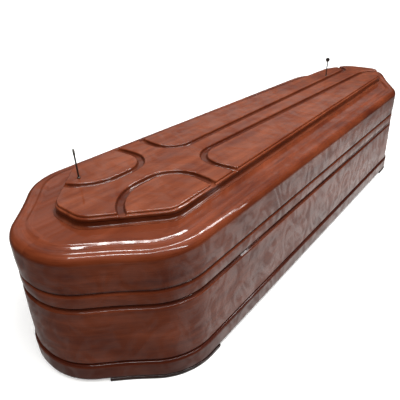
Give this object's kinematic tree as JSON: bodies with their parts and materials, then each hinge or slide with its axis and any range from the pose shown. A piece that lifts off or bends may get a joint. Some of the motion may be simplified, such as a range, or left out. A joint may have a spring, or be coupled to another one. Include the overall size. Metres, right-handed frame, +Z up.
{
  "type": "wooden coffin",
  "caption": "Tapered hollow wooden coffin with cut corners, plinth and feet, a hollow lift-off lid with a raised panel carved with a cross, and two upright lid screws.",
  "frame": {"origin": "centre of the bounding box's underside, on the floor under the feet", "axes": "+Y from the head end towards the foot end, along the coffin; +Z up; +X across, towards the side with no lid screws"},
  "size_m": [0.6162, 2.052, 0.502],
  "materials": {
    "lacquered_wood": "red-brown stained wood under high-gloss lacquer",
    "dark_lacquered_wood": "darker red-brown stained wood under high-gloss lacquer",
    "bare_wood": "plain sawn board",
    "foot_wood": "dark stained wood",
    "screw_steel": "darkened steel"
  },
  "bodies": {
    "root": {"case_walls": "lacquered_wood", "floor_board": "bare_wood", "plinth_moulding": "dark_lacquered_wood", "foot_head_right": "foot_wood", "foot_head_left": "foot_wood", "foot_foot_right": "foot_wood", "foot_foot_left": "foot_wood", "lid_shell": "lacquered_wood", "lid_panel": "lacquered_wood", "lid_screw_head_end": "screw_steel", "lid_screw_foot_end": "screw_steel"}
  },
  "joints": []
}
